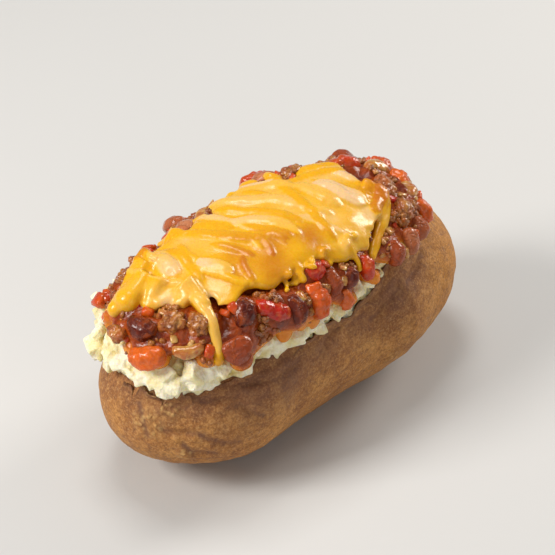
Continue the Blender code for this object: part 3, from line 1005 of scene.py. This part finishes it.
# Ribbons and lobes over the chili: tint, then bearing, reach, rise and radius in mm of each point.
ribbons = (
    (0.45, (
        (-168, 30, 0.2, 3.6), (-157, 33, 0.3, 3.3), (-149, 37, 0.4, 2.9), (-143.5, 41, 0.6, 2.6),
        (-139.5, 45, 0.8, 2.4), (-136.5, 49, 0.8, 2.1), (-134.5, 54, 0.7, 1.95), (-133, 61, 0.5, 1.8),
        (-132, 67, 0.3, 1.7), (-132, 70, 0.1, 1.6),
    )),
    (0.3, ((170, 32, -0.8, 4.0), (174, 38, -0.2, 3.6), (177, 42, -0.2, 3.0))),
    (1.0, ((146, 34, -1.8, 4.6), (153, 44, -0.8, 3.6), (159, 51, -0.2, 2.6))),
    (1.3, ((140, 34, -2.4, 5.4), (143, 46, -2.0, 5.0), (146, 57, -1.4, 4.0))),
    (1.2, ((122, 28, -2.4, 5.2), (126, 40, -2.2, 4.8), (130, 50, -1.6, 3.8))),
    (1.0, ((158, 34, -2.0, 4.8), (162, 42, -1.6, 4.2))),
    (0.6, ((-158, 31, -0.6, 3.2), (-162, 36, -0.2, 2.8), (-165, 39, -0.2, 2.5))),
    (0.9, ((-80, 40, -0.2, 2.2), (-79, 48, 0.5, 1.5), (-79, 54, 0.4, 1.1), (-80, 58, 0.0, 1.0))),
    (1.3, (
        (-30, 31, -1.2, 3.6), (-36, 37, -0.6, 3.4), (-43, 42, 0.0, 3.0), (-50, 46, 0.2, 2.7), (-57, 49, 0.3, 2.4),
        (-63, 51, 0.4, 2.1), (-68, 54, 0.4, 1.9), (-72, 58, 0.2, 1.6),
    )),
    (1.0, ((60, 24, -0.3, 2.0), (62, 34, 0.5, 1.2), (66, 44, 0.2, 1.1))),
    (0.8, ((110, 24, -0.3, 2.0), (114, 36, 0.4, 1.2), (117, 46, 0.1, 1.1))),
    (1.0, ((86, 26, -0.3, 2.4), (86, 36, 0.2, 1.8), (84, 42, 0.0, 1.4))),
)


def looseStrand(chance):
    # a short strand anywhere on the sheet, lying roughly across it, in mm
    x = chance.uniform(-56, 46)
    y = chance.uniform(-16, 22)
    angle = math.radians(chance.gauss(-62, 24))
    length = chance.uniform(9, 22)
    way = [
        Vector((x + math.cos(angle) * length * part, y + math.sin(angle) * length * part, 0.0)) * mm
        for part in (-0.5, 0.0, 0.5)
    ]
    way[1] += Vector((chance.uniform(-2, 2), chance.uniform(-1.5, 1.5), 0.0)) * mm
    tint = chance.choice((0.2, 0.5, 0.9, 1.0, 1.15))
    return tint, chance.uniform(1.0, 1.8), way


def sheetStrands(tree):
    # the centre lines of all strands on the sheet, each with its tint and radius
    chance = random.Random(5)
    plans = [(tint, radius, [Vector((x, y, 0.0)) * mm for x, y in way]) for tint, radius, way in strands]
    for number in range(cheese["count"]):
        plans.insert(0, looseStrand(chance))
    made = []
    for tint, radius, way in plans:
        hits = [fromAbove(tree, place.x, place.y) for place in smoothPath(way, cheese["spacing"])]
        line = [hit for hit in hits if hit is not None]
        if len(line) > 4:
            made.append((tint, radius * mm, line))
    return made


def strandFinder(made):
    # a function that gives the rise, tint and hold of the strands at a place
    tree = KDTree(sum(len(line) for tint, radius, line in made))
    facts = []
    for number, (tint, radius, line) in enumerate(made):
        for index, place in enumerate(line):
            share = index / (len(line) - 1)
            taper = min(1.0, 6.0 * share, 6.0 * (1.0 - share)) ** 0.5
            tree.insert(place, len(facts))
            facts.append((number, tint, radius, taper))
    tree.balance()
    stays, adds = cheese["overlap"]

    def find(place):
        best = {}
        for spot, index, away in tree.find_range(place, cheese["find"]):
            number, tint, radius, taper = facts[index]
            share = away / (radius * max(taper, 0.15))
            if share < 1.0 and (number not in best or share < best[number][0]):
                best[number] = (share, tint, radius * taper)
        rise = 0.0
        tone = 0.0
        hold = 0.0
        for number in sorted(best):
            share, tint, radius = best[number]
            dome = math.sqrt(1.0 - share * share)
            rise = max(rise * stays, 0.0) + cheese["rise"] * radius * dome * (adds if rise > 0.0 else 1.0)
            weight = min(1.0, 1.6 * dome)
            tone += (tint - tone) * weight
            hold += (1.0 - hold) * weight
        return rise, tone, hold

    return find


def cheeseFinish():
    glow = (0.30, (1.0, 0.5, 0.12), 0.0028)
    finish = Finish("meltedCheese", glow=glow, coat=(0.28, 0.16), Specular_IOR_Level=0.35, IOR=1.42)
    tint = finish.attribute("tint")
    soft = finish.noise(0.006, 3.0, 0.55)
    fine = finish.noise(0.0012)
    colour = finish.ramp(
        tint * 0.5 + soft * 0.12 - 0.06,
        (0.05, (0.810, 0.530, 0.255)),
        (0.22, (0.820, 0.465, 0.075)),
        (0.46, (0.800, 0.405, 0.004)),
        (0.96, (0.540, 0.160, 0.003)),
    )
    return finish.done(colour, (fine, 0.3, 0.7, 0.22, 0.38), (soft, 0.0005), (fine, 0.00008))


def frothyEdge(groundTree):
    # pale bubbly lumps where the sheet ends over the middle of the chili
    chance = random.Random(8)
    parts = []
    for number in range(cheese["froth"]):
        bearing = chance.choice((chance.uniform(-108, -94), chance.uniform(-108, -94), chance.uniform(-90, -66)))
        hit, normal = onHeap(groundTree, bearing, chance.uniform(36, 46))
        radius = chance.uniform(*cheese["frothSize"]) * mm
        parts.append(ball(hit + normal * radius * 0.3, radius, 12, 8))
    return parts


def cheeseRibbons(groundTree):
    # the ribbons as ropes laid on the ground, and the line of each for its tint
    parts = []
    lines = []
    for tint, way in ribbons:
        points = []
        widths = []
        for bearing, reach, rise, radius in way:
            hit, normal = onHeap(groundTree, bearing, reach)
            points.append(hit + normal * rise * mm)
            widths.append(Vector((radius, 0.0, 0.0)) * mm)
        for turn in range(cheese["slacken"]):
            middles = [(points[i - 1] + points[i] * 2 + points[i + 1]) / 4 for i in range(1, len(points) - 1)]
            points = [points[0], *middles, points[-1]]
        path, radii = smoothPath(points, cheese["ribbonSpacing"], widths)
        parts += tube(path, radii, radii[-1] * cheese["ribbonTip"])
        lines.append((tint, cheese["ribbonHold"], path))
    return parts, lines


def cutNotches(base, tree):
    for bearing, reach, size in notches:
        centre = onHeap(tree, bearing, reach)[0]
        bpy.ops.mesh.primitive_uv_sphere_add(segments=32, ring_count=20, radius=1.0, location=centre, scale=size)
        cutter = bpy.context.object
        applied(base, "BOOLEAN", object=cutter, operation="DIFFERENCE", solver="EXACT")
        bpy.data.objects.remove(cutter, do_unlink=True)


def cheeseTint(place, onSheet, onRibbon):
    # 0 pale, 1 golden, 2 amber
    rise, tone, hold = onSheet(place)
    plain = cheese["plain"] + cheese["mottle"] * lumps(place, cheese["mottleSize"], 7.0)
    value = plain + (tone - plain) * hold
    for x, y, width, amount in pools:
        value += amount * math.exp(-((place.x / mm - x) ** 2 + (place.y / mm - y) ** 2) / width ** 2)
    rise, tone, hold = onRibbon(place)
    value += (tone - value) * hold
    low, high = [heap["centre"].z + height for height in cheese["lowFrom"]]
    value += cheese["lowTint"] * (1.0 - step(low, high, place.z))
    return min(max(value, 0.0), 2.0)


def makeCheese(under):
    piece = copyOfNode("meltedCheese", "cheese")
    cutNotches(piece, treeOf(*under, piece))
    remeshed(piece, cheese["voxel"], 10)
    groundTree = treeOf(*under, piece)
    parts, ribbonLines = cheeseRibbons(groundTree)
    piece = joined("meltedCheese", [piece] + parts + frothyEdge(groundTree))
    remeshed(piece, cheese["voxel"], 2)
    find = strandFinder(sheetStrands(treeOf(piece)))

    def cheesePush(place, normal):
        wave = cheese["wave"] * lumps(place, cheese["waveSize"], 1.0)
        return find(place)[0] * step(-0.2, 0.3, normal.z) + wave

    pushed(piece, cheesePush)
    smoothed(piece, 0.5, 4)
    onSheet = strandFinder(sheetStrands(treeOf(piece)))
    onRibbon = strandFinder(ribbonLines)
    paint(piece, "tint", lambda place: cheeseTint(place, onSheet, onRibbon))
    return finished(piece, ["cheese"], cheeseFinish())


meltedCheese = makeCheese([fleshCore, chiliSauce, *toppings.values()])
coverTree = treeOf(meltedCheese, *toppings.values())
for kind, name in (("mince", "minceCrumbs"), ("tomato", "tomatoBits"), ("onion", "onionBits")):
    makeBits(kind, name, toppings[kind].data.materials[0], coverTree)
makeBits("seed", "tomatoSeeds", seedFinish(), coverTree)

# Stage: a pale floor, and lights that look at the middle of the potato.

lights = table(
    "place size power colour",
    key=((-0.70, 0.28, 0.62), 0.32, 7.2, (1.0, 0.97, 0.93)),
    top=((0.05, 0.20, 0.90), 0.30, 2.8, (1.0, 0.99, 0.97)),
    right=((0.80, -0.10, 0.45), 0.28, 4.2, (1.0, 0.96, 0.90)),
    fill=((-0.45, -0.80, 0.45), 0.70, 1.4, (1.0, 0.98, 0.95)),
)
stage = {
    "size": 6.0,
    "shades": ((0.60, 0.595, 0.585), (0.64, 0.635, 0.625)),
    "lightAim": (0.0, 0.0, 0.04),
    "sky": (1.0, 0.985, 0.96, 1.0),
    "skyStrength": 0.24,
}


def makeFloor():
    bpy.ops.mesh.primitive_plane_add(size=stage["size"], location=(0, 0, 0))
    floor = bpy.context.object
    floor.name = "floor"
    finish = Finish("paleFloor", Roughness=0.8)
    finish.set("Base Color", finish.blend(finish.noise(0.4, 3.0, 0.55), *stage["shades"]))
    floor.data.materials.append(finish.material)


def addLights():
    for name, light in lights.items():
        place = Vector(light["place"])
        aim = (place - Vector(stage["lightAim"])).to_track_quat("Z", "Y").to_euler()
        bpy.ops.object.light_add(type="AREA", location=place, rotation=aim)
        lamp = bpy.context.object
        lamp.name = name
        lamp.data.size = light["size"]
        lamp.data.energy = light["power"]
        lamp.data.color = light["colour"]
    world = bpy.data.worlds.new("softLight")
    world.use_nodes = True
    background = world.node_tree.nodes["Background"]
    background.inputs["Color"].default_value = stage["sky"]
    background.inputs["Strength"].default_value = stage["skyStrength"]
    bpy.context.scene.world = world


makeFloor()
addLights()
